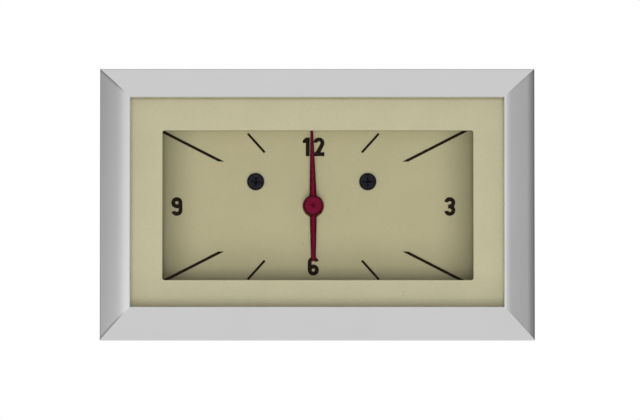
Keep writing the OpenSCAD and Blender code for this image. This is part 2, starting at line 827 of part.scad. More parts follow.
module lamp_holders() color(bakelite) at_lamps() difference() {
    union() {
        disc(lamp_nose_r, z_floor_back, z_train + lamp_nose_l);
        disc(lamp_flange_r, z_floor_back - case_wall, z_floor_back);
        disc(lamp_nose_r, z_floor_back - lamp_body_l, z_floor_back);
        slab(blade_w / 2, blade_t, z_floor_back - lamp_body_l - blade_w, z_floor_back - lamp_body_l);
    }
    disc(bulb_r, z_train - case_wall, z_train + lamp_nose_l + cut);
}

module lamp_bulbs() color(clear_glass) at_lamps() {
    disc(bulb_r - press_gap, z_train - case_wall, z_train + lamp_nose_l + bulb_l - bulb_r);
    translate([0, 0, z_train + lamp_nose_l + bulb_l - bulb_r]) sphere(bulb_r - press_gap);
}

z_insulator = z_can_inner + insulator_t;
z_insulator_back = z_can_back - insulator_t;
module terminal_insulator() color(fibre) at_axis() on(terminal_xy) difference() {
    union() {
        disc(insulator_r, z_insulator_back, z_can_back);
        disc(insulator_neck_r, z_can_back, z_can_inner);
        disc(insulator_r, z_can_inner, z_insulator);
    }
    disc(terminal_stem_r + press_gap, z_insulator_back - cut, z_insulator + cut);
}

module power_terminal() color(brass) at_axis() on(terminal_xy) {
    disc(terminal_stem_r, z_insulator_back, z_insulator);
    disc(terminal_head_r, z_insulator, z_insulator + terminal_head_t);
    slab(blade_w, 2 * blade_t, z_insulator_back - terminal_head_t, z_insulator_back);
    slab(blade_w, blade_t, z_insulator_back - terminal_head_t - blade_l, z_insulator_back - terminal_head_t);
}

// Movement plates, pillars and screws
module at_pillars() for (a = pillar_angles) on(polar(pillar_circle, a)) children();

module front_plate() color(brass) at_axis() difference() {
    slab(front_plate_w, front_plate_h, z_train, z_plate);
    disc(centre_arbor_r + run_gap, z_train - cut, z_plate + cut);
    for (p = train_xy) on(p) disc(pivot_hole_r, z_train - cut, z_plate + cut);
    on(minute_xy) disc(minute_post_r, z_train - cut, z_plate + cut);
    on(set_xy) disc(set_arbor_r + run_gap, z_train - cut, z_plate + cut);
    on(click_pivot) disc(click_post_r, z_train - cut, z_plate + cut);
    on(spring_post_xy) disc(spring_post_r, z_train - cut, z_plate + cut);
    at_pillars() disc(pillar_spigot_r, z_train - cut, z_plate + cut);
    for (p = dial_screw_xy) on(p) disc(dial_spigot_r, z_train - cut, z_plate + cut);
    for (side = [-1, 1]) {
        translate([side * cover_screw_x, 0, 0]) disc(m25_hole_r, z_train - cut, z_plate + cut);
        for (sy = [-1, 1])
            translate([side * plate_screw_x, sy * plate_screw_y, 0])
                disc(m25_hole_r, z_train - cut, z_plate + cut);
    }
}

module back_plate() color(brass) at_axis() difference() {
    disc(back_plate_r, z_back_plate_rear, z_back_plate);
    disc(pivot_hole_r, z_back_plate_rear - cut, z_back_plate + cut);
    for (p = train_xy) on(p) disc(pivot_hole_r, z_back_plate_rear - cut, z_back_plate + cut);
    on(set_xy) disc(set_arbor_r + run_gap, z_back_plate_rear - cut, z_back_plate + cut);
    at_pillars() disc(m25_hole_r, z_back_plate_rear - cut, z_back_plate + cut);
    at_yoke_screws() disc(yoke_screw_r + fit_gap, z_back_plate_rear - cut, z_back_plate + cut);
    on(balance_xy) arc_slot(curb_r, curb_gap + 3 * curb_pin_r, regulator_dir, regulator_swing,
        z_back_plate_rear - cut, z_back_plate + cut);
}

// Pillars are riveted in the front plate, and a screw in each holds the back plate
module plate_pillars() color(brass) at_axis() at_pillars() difference() {
    union() {
        disc(pillar_r, z_back_plate, z_train);
        disc(pillar_spigot_r, z_train, z_plate);
    }
    disc(m25_r, z_back_plate - cut, z_back_plate + pillar_thread_l);
}

module pillar_screws() color(steel) at_axis() at_pillars()
    translate([0, 0, z_back_plate_rear]) mirror([0, 0, 1])
        screw(m25_head_r, m25_head_h, m25_r, plate_t + pillar_thread_l, 0);

module plate_screws() color(steel) at_axis() for (sx = [-1, 1], sy = [-1, 1])
    translate([sx * plate_screw_x, sy * plate_screw_y, 0])
        screw(m25_head_r, m25_head_h, m25_r, plate_t + case_wall, z_plate);

// Motion work between the dial and the front plate
minute_wheel_lift = 0.5;
minute_wheel_t = 0.8;
hour_wheel_lift = 2.2;
hour_wheel_t = 0.8;
cannon_lift = 0.3;
cannon_l = 1.2;
z_minute_wheel = z_plate + minute_wheel_lift;
z_hour_wheel = z_plate + hour_wheel_lift;
cannon_turn = minute_dir;
minute_wheel_turn = mesh_turn(cannon_teeth, cannon_turn, minute_wheel_teeth, minute_dir);
set_turn = mesh_turn(minute_wheel_teeth, minute_wheel_turn, cannon_teeth, set_dir);
hour_wheel_turn = mesh_turn(minute_pinion_teeth, minute_dir + 180, hour_wheel_teeth, minute_dir + 180);

module minute_wheel_post() color(steel) at_axis() on(minute_xy) {
    disc(minute_post_r, z_train, z_hour_wheel + hour_wheel_t + 0.4);
    ring(minute_post_r * 2, minute_post_r, z_plate, z_minute_wheel - 0.1);
}

module minute_wheel() color(brass) at_axis() on(minute_xy) {
    z1 = z_minute_wheel + minute_wheel_t;
    pierced(gear_r(minute_wheel_teeth, motion_module), minute_post_r + run_gap, 5, z_minute_wheel, z1)
        gear(minute_wheel_teeth, motion_module, -cannon_shift, addendum, minute_wheel_turn,
            z_minute_wheel, z1);
    difference() {
        gear(minute_pinion_teeth, motion_module, minute_pinion_shift, addendum, minute_dir + 180,
            z1, z_hour_wheel + hour_wheel_t + 0.2);
        disc(minute_post_r + run_gap, z1 - cut, z_hour_wheel + 2 * cut);
    }
}

module cannon_pinion() color(steel) at_axis() difference() {
    union() {
        gear(cannon_teeth, motion_module, cannon_shift, addendum, cannon_turn,
            z_plate + cannon_lift, z_plate + cannon_lift + cannon_l);
        disc(cannon_pipe_r, z_plate + cannon_lift, z_minute + hand_t);
    }
    disc(cannon_bore_r, z_plate, z_minute + hand_t + cut);
}

module hour_wheel() color(brass) at_axis() difference() {
    union() {
        pierced(gear_r(hour_wheel_teeth, motion_module), hour_pipe_bore_r, 6,
            z_hour_wheel, z_hour_wheel + hour_wheel_t)
            gear(hour_wheel_teeth, motion_module, -minute_pinion_shift, addendum, hour_wheel_turn,
                z_hour_wheel, z_hour_wheel + hour_wheel_t);
        disc(hour_pipe_r, z_hour_wheel, z_hour + hand_t);
    }
    disc(hour_pipe_bore_r, z_hour_wheel - cut, z_hour + hand_t + cut);
}

// A tapered hand along +y with a flat ridge down its middle
module hand_arm(len, w, tip_w, z) {
    hull() {
        layer(z, z + hand_t) polygon([[-w / 2, 0], [w / 2, 0], [tip_w / 2, len], [-tip_w / 2, len]]);
        layer(z + hand_t, z + hand_t + ridge_h)
            polygon([[-w / 6, 0], [w / 6, 0], [tip_w / 6, len], [-tip_w / 6, len]]);
    }
}

module minute_hand() color(crimson) at_axis() difference() {
    union() {
        rotate(-minute_rest) hand_arm(minute_len, minute_w, minute_tip_w, z_minute);
        disc(hub_d / 2, z_minute, z_minute + hub_h - hub_bevel_h);
        translate([0, 0, z_minute + hub_h - hub_bevel_h])
            cylinder(r1 = hub_d / 2, r2 = hub_d / 2 - hub_bevel_w, h = hub_bevel_h);
    }
    disc(cannon_pipe_r + press_gap, z_minute - cut, z_minute + hand_t);
    translate([0, 0, z_minute + hub_h + hub_bevel_h / 2]) sphere(hub_dimple_r);
}

module hour_hand() color(crimson) at_axis() difference() {
    union() {
        rotate(-hour_rest) hand_arm(hour_len, hour_w, hour_tip_w, z_hour);
        disc(hub_d / 2 - run_gap, z_hour, z_hour + hand_t + ridge_h / 2);
    }
    disc(hour_pipe_r + press_gap, z_hour - cut, z_hour + hand_t + ridge_h + cut);
}

// Setting arbor and knob
z_knob = z_can_back - knob_shoulder;
z_grip = z_knob - knob_shoulder;
module set_arbor() color(steel) at_axis() on(set_xy) {
    gear(cannon_teeth, motion_module, cannon_shift, addendum, set_turn,
        z_minute_wheel - 0.2, z_minute_wheel + minute_wheel_t + 0.2);
    disc(set_arbor_r, z_knob - knob_l * 0.8, z_minute_wheel);
}

module set_knob() color(brass) at_axis() on(set_xy) difference() {
    union() {
        disc(knob_r, z_knob - knob_l, z_grip);
        disc(knob_r * 0.6, z_grip, z_knob);
    }
    disc(set_arbor_r + press_gap, z_knob - knob_l * 0.8, z_knob + cut);
    for (i = [0:knob_grooves - 1])
        rotate(360 * i / knob_grooves) translate([knob_r + knob_groove_r / 2, 0, 0])
            disc(knob_groove_r, z_knob - knob_l - cut, z_grip + cut);
}

// Going train
module centre_arbor() color(steel) at_axis() {
    disc(centre_arbor_r, z_back_plate + end_shake, z_minute + hand_t - fit_gap);
    disc(pivot_r, z_back_plate_rear, z_back_plate + cut);
    ring(centre_collar_r, centre_arbor_r, depth(centre_collar_l), depth(end_shake));
}

module train_wheel(n, bore, level)
    pierced(gear_r(n, train_module), bore + press_gap, 5, depth(level + wheel_t), depth(level))
        gear(n, train_module, -leaf_shift, addendum, 0, depth(level + wheel_t), depth(level));

module centre_wheel() color(brass) at_axis() train_wheel(centre_teeth, centre_arbor_r, centre_level);

module ratchet_wheel() color(steel) at_axis() difference() {
    mirror([0, 1, 0]) saw_teeth(ratchet_teeth, ratchet_r, ratchet_root_r,
        depth(ratchet_level + ratchet_t), depth(ratchet_level));
    disc(centre_arbor_r + press_gap, depth(ratchet_level + ratchet_t + cut), depth(ratchet_level - cut));
}

module third_arbor() color(steel) at_axis() on(third_xy) {
    arbor(arbor_r);
    leaf_pinion(centre_level, mesh_turn(centre_teeth, 0, leaves, third_dir));
}
module third_wheel() color(brass) at_axis() on(third_xy)
    train_wheel(third_teeth, arbor_r, third_level);

module fourth_arbor() color(steel) at_axis() on(fourth_xy) {
    arbor(arbor_r);
    leaf_pinion(third_level, mesh_turn(third_teeth, 0, leaves, fourth_dir));
}
module fourth_wheel() color(brass) at_axis() on(fourth_xy)
    train_wheel(fourth_teeth, arbor_r, fourth_level);

module escape_arbor() color(steel) at_axis() on(escape_xy) {
    arbor(arbor_r);
    leaf_pinion(fourth_level, mesh_turn(fourth_teeth, 0, leaves, escape_dir));
}
module escape_wheel() color(brass) at_axis() on(escape_xy)
    pierced(escape_root_r, arbor_r + press_gap, 5, depth(escape_level + wheel_t), depth(escape_level))
        saw_teeth(escape_teeth, escape_r, escape_root_r, depth(escape_level + wheel_t),
            depth(escape_level));

// Pallet lever, with its fork towards the balance and two pins beside the escape wheel
module pallet_lever() color(steel) at_axis() {
    z0 = depth(lever_level + wheel_t);
    z1 = depth(lever_level);
    on(lever_xy) arbor(pivot_r + run_gap);
    crotch = lever_xy + polar(fork_reach - fork_l, fork_dir);
    bar(lever_xy, crotch, lever_w, z0, z1);
    for (side = [-1, 1]) {
        bar(crotch, balance_xy - polar(horn_r, fork_dir + side * fork_open), horn_w, z0, z1);
        pin = escape_xy + polar(pallet_circle, lever_dir + side * pallet_spread);
        bar(lever_xy, pin, pallet_w, z0, z1);
        on(pin) disc(pallet_pin_r, z1, depth(escape_level - fit_gap));
    }
}

module balance_staff() color(steel) at_axis() on(balance_xy) {
    arbor(staff_r);
    disc(roller_r, depth(roller_level + wheel_t), depth(roller_level));
    on(polar(impulse_r, fork_dir + 180))
        disc(impulse_pin_r, depth(roller_level), depth(lever_level + wheel_t + fit_gap));
    disc(hairspring_r0 - fit_gap, depth(hairspring_level + 2 * hairspring_h),
        depth(hairspring_level - hairspring_h));
}

module balance_wheel() color(brass) at_axis() on(balance_xy) {
    z0 = depth(balance_level + balance_t);
    z1 = depth(balance_level);
    arm_end = balance_r - balance_rim_w / 2 - balance_arm_w / 4;
    ring(balance_r, balance_r - balance_rim_w, z0, z1);
    difference() {
        union() {
            bar([-arm_end, 0], [arm_end, 0], balance_arm_w, z0 + balance_t * 0.3, z1 - balance_t * 0.25);
            disc(balance_hub_r, z0, z1);
        }
        disc(staff_r + press_gap, z0 - cut, z1 + cut);
    }
}

function spiral(t, off) =
    polar(hairspring_r0 + (hairspring_r - hairspring_r0) * t + off,
        stud_dir + 360 * hairspring_turns * (t - 1));
spiral_steps = 24 * hairspring_turns;
module hairspring() color(blue_steel) at_axis() on(balance_xy)
    layer(depth(hairspring_level + hairspring_h), depth(hairspring_level)) polygon(concat(
        [for (i = [0:spiral_steps]) spiral(i / spiral_steps, -hairspring_t / 2)],
        [for (i = [spiral_steps:-1:0]) spiral(i / spiral_steps, hairspring_t / 2)]
    ));

module hairspring_stud() color(brass) at_axis()
    on(balance_xy + polar(hairspring_r + hairspring_t + hairspring_stud_r, stud_dir))
        disc(hairspring_stud_r, z_back_plate, depth(hairspring_level - hairspring_h));

module regulator_lever() color(steel) at_axis() on(balance_xy) {
    z1 = z_back_plate_rear - regulator_gap;
    z0 = z1 - regulator_t;
    finger = polar(regulator_reach, regulator_dir);
    difference() {
        union() {
            disc(regulator_boss_r, z0, z1);
            bar([0, 0], finger, regulator_w, z0, z1);
        }
        disc(pivot_r + run_gap, z0 - cut, z1 + cut);
    }
    on(finger) disc(finger_r, z_can_back - finger_out, z1);
    for (side = [-1, 1])
        on(polar(curb_r + side * (curb_gap + curb_pin_r), regulator_dir))
            disc(curb_pin_r, z0, depth(hairspring_level));
}

// Electric rewinding
module along_coil() translate([0, coil_y, depth(coil_level)]) rotate([0, 90, 0]) children();

module coil_bobbin() color(fibre) at_axis() along_coil() difference() {
    union() {
        disc(bobbin_r, coil_x0, coil_x0 + coil_l);
        for (x = [coil_x0, coil_x0 + coil_l - flange_coil_t]) disc(coil_r, x, x + flange_coil_t);
    }
    disc(core_r + press_gap, coil_x0 - cut, coil_x0 + coil_l + cut);
}

module coil_winding() color(copper) at_axis() along_coil()
    ring(winding_r, bobbin_r + press_gap, coil_x0 + flange_coil_t, coil_x0 + coil_l - flange_coil_t);

yoke_x = coil_x0 + coil_l;
yoke_foot_l = 11;
module magnet_yoke() color(steel) at_axis() {
    along_coil() disc(core_r, pole_x, yoke_x + yoke_t);
    translate([yoke_x + yoke_t / 2, coil_y, 0])
        slab(yoke_t, yoke_h, z_back_plate, depth(coil_level - coil_r + 1));
    difference() {
        translate([yoke_x - yoke_foot_l / 2, coil_y, 0])
            slab(yoke_foot_l, yoke_h, z_back_plate, z_back_plate + yoke_foot_t);
        at_yoke_screws() disc(yoke_screw_r, z_back_plate - cut, z_back_plate + yoke_foot_t + cut);
    }
}
yoke_foot_t = plate_gap - coil_level - coil_r - fit_gap;
module at_yoke_screws() for (x = [yoke_x - yoke_foot_l + yoke_screw_inset, yoke_x - yoke_screw_inset])
    translate([x, coil_y, 0]) children();
module yoke_screws() color(steel) at_axis() at_yoke_screws()
    translate([0, 0, z_back_plate_rear]) mirror([0, 0, 1])
        screw(yoke_screw_head_r, yoke_screw_head_h, yoke_screw_r, plate_t + yoke_foot_t, 0);

// Arm that swings about the centre arbor, with the iron armature behind it and the pawl pin before it
module winding_armature() color(steel) at_axis() {
    z0 = depth(arm_level + arm_t);
    z1 = depth(arm_level);
    armature_x = pole_x - pole_gap - armature_t / 2;
    difference() {
        union() {
            disc(arm_boss_r, z0, z1);
            bar([0, 0], [armature_x, arm_end_y], arm_w, z0, z1);
        }
        disc(centre_arbor_r + run_gap, z0 - cut, z1 + cut);
        on(spring_hook) disc(spring_eye_r, z0 - cut, z1 + cut);
    }
    translate([armature_x, coil_y, 0]) slab(armature_t, armature_h, depth(coil_level + core_r), z0);
    on(pawl_pivot) disc(pawl_pin_r, z1, depth(ratchet_level));
}

// A pawl from its pivot to a point just outside the ratchet's tips
module pawl(pivot, tip_dir, bore) {
    z0 = depth(ratchet_level + ratchet_t);
    z1 = depth(ratchet_level);
    tip = polar(ratchet_r + ratchet_clear, tip_dir);
    along = (pivot - tip) / norm(pivot - tip);
    side = [-along[1], along[0]];
    out = side * tip > 0 ? side : -side;
    difference() {
        union() {
            layer(z0, z1)
                polygon([tip, tip + out * pawl_w, pivot + out * pawl_w, pivot - out * pawl_heel]);
            on(pivot) disc(bore + pawl_eye, z0, z1);
        }
        on(pivot) disc(bore + run_gap, z0 - cut, z1 + cut);
        disc(ratchet_r + ratchet_clear, z0 - cut, z1 + cut);
    }
}

module drive_pawl() color(steel) at_axis() pawl(pawl_pivot, pawl_tip_dir, pawl_pin_r);
module holding_click() color(steel) at_axis() pawl(click_pivot, click_tip_dir, click_post_r);

module click_post() color(steel) at_axis() on(click_pivot) {
    disc(click_post_r, depth(ratchet_level + ratchet_t + 0.2), z_plate);
    ring(click_post_r * 1.7, click_post_r, depth(ratchet_level - 0.1), z_train);
}

module spring_post() color(steel) at_axis() on(spring_post_xy)
    disc(spring_post_r, depth(arm_level + arm_t + 0.6), z_plate);

// Helical drive spring from the arm to its post, as one tube
coil_rings = 8;
tube_sides = 6;
module drive_spring() color(blue_steel) at_axis() {
    span = spring_post_xy - spring_hook;
    unit = span / norm(span);
    start = spring_hook + unit * (drive_wire_r + drive_hook_l);
    len = norm(span) - drive_hook_l - spring_post_r - 3 * drive_wire_r;
    rings = drive_turns * coil_rings;
    side = [-unit[1], unit[0], 0];
    up = [0, 0, 1];
    axis = [unit[0], unit[1], 0];
    points = [for (i = [0:rings], j = [0:tube_sides - 1])
        let (
            t = 360 * i / coil_rings,
            out = side * cos(t) + up * sin(t),
            mid = [start[0], start[1], depth(arm_level + arm_t / 2)] + axis * len * i / rings
                + out * drive_coil_r
        )
        mid + (out * cos(360 * j / tube_sides) + axis * sin(360 * j / tube_sides)) * drive_wire_r];
    faces = concat(
        [[for (j = [0:tube_sides - 1]) j]],
        [for (i = [0:rings - 1], j = [0:tube_sides - 1], k = [0, 1])
            let (a = i * tube_sides + j, b = i * tube_sides + (j + 1) % tube_sides)
            k == 0 ? [a, a + tube_sides, b] : [b, a + tube_sides, b + tube_sides]],
        [[for (j = [tube_sides - 1:-1:0]) rings * tube_sides + j]]
    );
    polyhedron(points, faces);
}

// Contact that the armature closes at the end of its swing
contact_block_w = 3.4;
contact_block_h = 2.4;
blade_top_y = armature_corner[1] + 1;
module contact_block() color(fibre) at_axis() difference() {
    translate([contact_x, contact_block_y, 0])
        slab(contact_block_w, contact_block_h, z_back_plate, depth(coil_level - 2));
    translate([contact_x, contact_block_y, 0])
        slab(contact_blade_t, contact_block_h + cut, depth(coil_level + core_r), depth(coil_level - 3));
}
module contact_blade() color(brass) at_axis()
    translate([contact_x, (contact_block_y - contact_block_h / 2 + blade_top_y) / 2, 0])
        slab(contact_blade_t, blade_top_y - contact_block_y + contact_block_h / 2,
            depth(coil_level + core_r), depth(coil_level - 1));

bezel();
bezel_gasket();
glass();
mask();
dial();
dial_print();
dial_screws();
dial_posts();
case_shell();
movement_cover();
cover_screws();
mounting_studs();
lamp_holders();
lamp_bulbs();
power_terminal();
terminal_insulator();
front_plate();
back_plate();
plate_pillars();
pillar_screws();
plate_screws();
minute_wheel_post();
coil_bobbin();
coil_winding();
magnet_yoke();
yoke_screws();
holding_click();
click_post();
contact_blade();
contact_block();
spring_post();
drive_spring();
hairspring();
hairspring_stud();
minute_hand();
cannon_pinion();
hour_hand();
hour_wheel();
minute_wheel();
set_arbor();
set_knob();
centre_arbor();
centre_wheel();
ratchet_wheel();
third_arbor();
third_wheel();
fourth_arbor();
fourth_wheel();
escape_arbor();
escape_wheel();
pallet_lever();
balance_staff();
balance_wheel();
winding_armature();
drive_pawl();
regulator_lever();
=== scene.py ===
"""Looks of the rectangular dashboard clock: materials, finer pieces, studio light and camera."""

import json
import math

import bmesh
import bpy
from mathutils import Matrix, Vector


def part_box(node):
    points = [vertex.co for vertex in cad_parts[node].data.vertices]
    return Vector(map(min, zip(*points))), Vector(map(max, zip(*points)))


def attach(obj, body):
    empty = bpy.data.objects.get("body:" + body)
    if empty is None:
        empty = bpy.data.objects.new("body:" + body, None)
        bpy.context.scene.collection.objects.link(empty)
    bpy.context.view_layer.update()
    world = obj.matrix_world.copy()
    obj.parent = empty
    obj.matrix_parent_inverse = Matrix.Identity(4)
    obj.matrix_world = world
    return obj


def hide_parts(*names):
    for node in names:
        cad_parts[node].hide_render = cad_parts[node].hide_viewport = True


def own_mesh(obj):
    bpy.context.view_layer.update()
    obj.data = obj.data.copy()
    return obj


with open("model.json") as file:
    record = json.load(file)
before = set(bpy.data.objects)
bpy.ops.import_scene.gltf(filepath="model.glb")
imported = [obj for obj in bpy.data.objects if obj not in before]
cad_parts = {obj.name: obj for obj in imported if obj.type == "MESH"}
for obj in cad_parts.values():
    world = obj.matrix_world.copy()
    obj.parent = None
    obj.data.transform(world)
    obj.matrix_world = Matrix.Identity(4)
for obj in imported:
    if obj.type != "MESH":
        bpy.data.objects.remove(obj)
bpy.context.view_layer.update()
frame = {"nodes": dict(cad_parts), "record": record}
nodes = frame["nodes"]

MM = 0.001
WHITE = (1, 1, 1, 1)

# Camera as in the photograph: distance in m, elevation in degrees, lens and sensor in mm
VIEW_DISTANCE = 3.0
VIEW_ELEVATION = -6.0
LENS = 676.0
SENSOR = 36.0
PHOTO_W = 640
# Size of a pixel at the clock, in m, and how far right and down the picture's middle lies from the clock's
PX = SENSOR / LENS * VIEW_DISTANCE / PHOTO_W
AIM_RIGHT_PX = 2.7
AIM_DOWN_PX = 4.9


# Colours
def srgb(*rgb):
    """A colour written as it is seen, from 0 to 255, turned into linear light."""
    out = []
    for v in rgb:
        v = v / 255
        out.append(v / 12.92 if v <= 0.04045 else ((v + 0.055) / 1.055) ** 2.4)
    return (*out, 1.0)


def shade(colour, factor):
    """The colour made darker or lighter."""
    return (*[min(1.0, c * factor) for c in colour[:3]], 1.0)


def grey(level):
    """A neutral colour of the given level."""
    return (level, level, level, 1)


CREAM_MASK = srgb(206, 200, 167)
CREAM_DIAL = srgb(193, 185, 147)
CRIMSON = srgb(113, 10, 44)
# Darker crimson: painted shade for the sloping sides of the hands
CRIMSON_SHADED = srgb(74, 4, 22)
BRASS = srgb(205, 172, 104)
STEEL = srgb(182, 182, 180)
BLUED_STEEL = srgb(58, 72, 118)
RED_FIBRE = srgb(110, 62, 42)
DARK_BROWN = srgb(44, 33, 28)
GLASS_TINT = (0.95, 0.97, 0.96, 1)

# Sockets of a mix node that are used for colours
MIX_SHARE = 0
MIX_FIRST = 6
MIX_SECOND = 7
MIX_RESULT = 2


# Materials
class Shading:
    """Short calls that add nodes to one node tree and join them."""

    def __init__(self, tree):
        self.tree = tree

    def node(self, kind, **values):
        """A new node with the given settings."""
        made = self.tree.nodes.new(kind)
        for key, value in values.items():
            setattr(made, key, value)
        return made

    def feed(self, socket, value):
        """Joins the output of a node to the socket, or sets the socket to a constant."""
        if isinstance(value, bpy.types.NodeSocket):
            self.tree.links.new(value, socket)
        else:
            socket.default_value = value

    def calc(self, operation, *values):
        """The result of one sum on sockets and constants."""
        made = self.node("ShaderNodeMath", operation=operation)
        for socket, value in zip(made.inputs, values):
            self.feed(socket, value)
        return made.outputs[0]

    def axes(self, vector):
        """The x, y and z of a vector."""
        made = self.node("ShaderNodeSeparateXYZ")
        self.feed(made.inputs[0], vector)
        return made.outputs

    def ramp(self, value, stops):
        """A colour for each value, between stops of (value, colour)."""
        made = self.node("ShaderNodeValToRGB")
        ramp = made.color_ramp
        while len(ramp.elements) < len(stops):
            ramp.elements.new(0.5)
        for element, (at, colour) in zip(ramp.elements, stops):
            element.position = at
            element.color = colour
        self.feed(made.inputs["Fac"], value)
        return made.outputs["Color"]

    def levels(self, value, stops):
        """A grey for each value, between stops of (value, level)."""
        return self.ramp(value, [(at, grey(level)) for at, level in stops])

    def between(self, value, low, high, start=0.0, end=1.0):
        """Runs from low to high while the value runs from start to end."""
        made = self.node("ShaderNodeMapRange")
        self.feed(made.inputs["Value"], value)
        self.feed(made.inputs["From Min"], start)
        self.feed(made.inputs["From Max"], end)
        self.feed(made.inputs["To Min"], low)
        self.feed(made.inputs["To Max"], high)
        return made.outputs["Result"]

    def span(self, value, start, end):
        """Runs from 0 to 1 while the value runs from start to end."""
        return self.between(value, 0.0, 1.0, start, end)

    def mix(self, share, first, second, blend="MIX"):
        """Two colours blended, with the second one taking the given share."""
        made = self.node("ShaderNodeMix", data_type="RGBA", blend_type=blend)
        self.feed(made.inputs[MIX_SHARE], share)
        self.feed(made.inputs[MIX_FIRST], first)
        self.feed(made.inputs[MIX_SECOND], second)
        return made.outputs[MIX_RESULT]


class Build(Shading):
    """A new material with its principled shader, and the patterns that feed it."""

    EDGE_SAMPLES = 6

    def __init__(self, name, metallic=0.0, specular=0.5):
        self.mat = bpy.data.materials.new(name)
        self.mat.use_nodes = True
        super().__init__(self.mat.node_tree)
        self.shader = self.tree.nodes["Principled BSDF"]
        self.shader.inputs["Metallic"].default_value = metallic
        self.shader.inputs["Specular IOR Level"].default_value = specular
        self.where = self.node("ShaderNodeTexCoord").outputs["Object"]

    def stretched(self, scale):
        """The place on the object, scaled along each axis to draw a pattern out."""
        made = self.node("ShaderNodeMapping")
        made.inputs["Scale"].default_value = scale
        self.feed(made.inputs["Vector"], self.where)
        return made.outputs["Vector"]

    def noise(self, scale, detail, rough=0.55, vector=None):
        """Cloudy pattern from 0 to 1."""
        made = self.node("ShaderNodeTexNoise")
        made.inputs["Scale"].default_value = scale
        made.inputs["Detail"].default_value = detail
        made.inputs["Roughness"].default_value = rough
        self.feed(made.inputs["Vector"], vector or self.where)
        return made.outputs["Fac"]

    def cells(self, scale):
        """Pattern of irregular cells, with a colour for each cell and the distance from its middle."""
        made = self.node("ShaderNodeTexVoronoi")
        made.inputs["Scale"].default_value = scale
        self.feed(made.inputs["Vector"], self.where)
        return made.outputs

    def bump(self, height, depth, strength, edge=0.0):
        """Relief of the given depth, on edges rounded by the given radius, both in m."""
        made = self.node("ShaderNodeBump")
        made.inputs["Strength"].default_value = strength
        made.inputs["Distance"].default_value = depth
        self.feed(made.inputs["Height"], height)
        if edge:
            self.feed(made.inputs["Normal"], self.rounded(edge))
        return made.outputs["Normal"]

    def rounded(self, radius):
        """The surface's direction, with its edges rounded."""
        made = self.node("ShaderNodeBevel", samples=self.EDGE_SAMPLES)
        made.inputs["Radius"].default_value = radius
        return made.outputs["Normal"]

    def colour(self, socket):
        self.feed(self.shader.inputs["Base Color"], socket)

    def rough(self, socket):
        self.feed(self.shader.inputs["Roughness"], socket)

    def normal(self, socket):
        self.feed(self.shader.inputs["Normal"], socket)


# Painted shade towards shaded edges: (edge in mm, reach in mm, tone at the edge, power of the fall)
# Painted shade of the mask's window edges on the dial
DIAL_PAINTED_SHADE = {
    "across": (38.9, 10.0, 0.5, 1.5),
    "down": (19.1, 13.0, 0.68, 1.2),
}
# Painted shade of the bezel's lip on the mask
MASK_PAINTED_SHADE = {
    "across": (46.5, 1.0, 0.95, 1.5),
    "down": (20.0, 4.0, 0.94, 1.0),
    "up": (26.6, 0.8, 0.5, 1.5),
}


def painted_shade_border(b, coat, painted_shade):
    """The coat with painted shade towards both sides, downwards and upwards, as far as the table of painted
    shade says.
    """
    x, _, z = b.axes(b.where)
    places = {"across": b.calc("ABSOLUTE", x), "down": b.calc("MULTIPLY", z, -1.0), "up": z}
    for way, (edge, reach, tone, power) in painted_shade.items():
        # Painted shade: darker towards this edge
        near = b.span(places[way], (edge - reach) * MM, edge * MM)
        coat = b.mix(b.calc("POWER", near, power), coat, grey(tone), "MULTIPLY")
    return coat


def cream_paint(name, colour, fleck, painted_shade):
    """Sprayed cream paint: slow mottling, a fine orange peel, a few specks of dirt and painted shade towards
    its edges.
    """
    b = Build(name, specular=0.22)
    mottle = b.ramp(b.noise(90, 4), [(0.3, shade(colour, 0.965)), (0.7, shade(colour, 1.03))])
    fine = b.ramp(b.noise(2600, 2), [(0.35, shade(colour, 0.93)), (0.65, shade(colour, 1.06))])
    grain = b.mix(0.35, mottle, fine)
    speck = b.levels(b.cells(fleck)["Distance"], [(0.035, 1), (0.075, 0)])
    rare = b.levels(b.noise(140, 1), [(0.62, 0), (0.68, 1)])
    dirt = b.mix(1.0, speck, rare, "MULTIPLY")
    coat = b.mix(dirt, grain, shade(colour, 0.62))
    b.colour(painted_shade_border(b, coat, painted_shade))
    b.rough(b.between(b.noise(700, 2), 0.46, 0.6))
    b.normal(b.bump(b.noise(1900, 2), 0.00002, 0.35))
    return b.mat


# Polishing dirt in the bezel's mitres: where it begins to fade and ends, in mm from the bezel's side,
# its width beside the joint and the softness of its edge at the joint, in mm, and its tone on the left
# and on the right
MITRE_REACH = (4.0, 6.5)
MITRE_W = 0.9
MITRE_SOFT = 0.05
MITRE_TONES = [(0.45, 0.5), (0.55, 0.9)]


def mitre_dirt(b, half_w, half_h):
    """Share of dirt on the side rails beside the mitres, fading towards the sight corners, and its tone."""
    x, _, z = b.axes(b.where)
    from_side = b.calc("SUBTRACT", half_w, b.calc("ABSOLUTE", x))
    from_top = b.calc("SUBTRACT", half_h, b.calc("ABSOLUTE", z))
    beside = b.calc("SUBTRACT", from_top, from_side)
    width = b.span(beside, MITRE_W * MM, 0.0)
    joint = b.span(beside, -MITRE_SOFT * MM, 0.0)
    reach = b.span(from_side, MITRE_REACH[1] * MM, MITRE_REACH[0] * MM)
    share = b.calc("MULTIPLY", b.calc("MULTIPLY", width, joint), reach)
    return share, b.levels(b.span(x, -half_w, half_w), MITRE_TONES)


def chrome_plate():
    """Bright plating with a faint haze, hairline wiping marks and dirt left in the mitres."""
    b = Build("chrome_plate", metallic=1.0)
    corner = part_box("bezel")[1]
    haze = b.levels(b.noise(60, 3), [(0.3, 0.775), (0.7, 0.8)])
    dirt, tone = mitre_dirt(b, corner.x, corner.z)
    b.colour(b.mix(dirt, haze, tone, "MULTIPLY"))
    wiped = b.noise(900, 2, vector=b.stretched((0.06, 1, 1)))
    b.rough(b.between(wiped, 0.07, 0.13))
    b.normal(b.bump(b.noise(240, 2), 0.000004, 0.3))
    return b.mat


# Grain of metal: drawn out along the axis of the arbors, or even
TURNED = (1, 0.08, 1)
EVEN = (1, 1, 1)


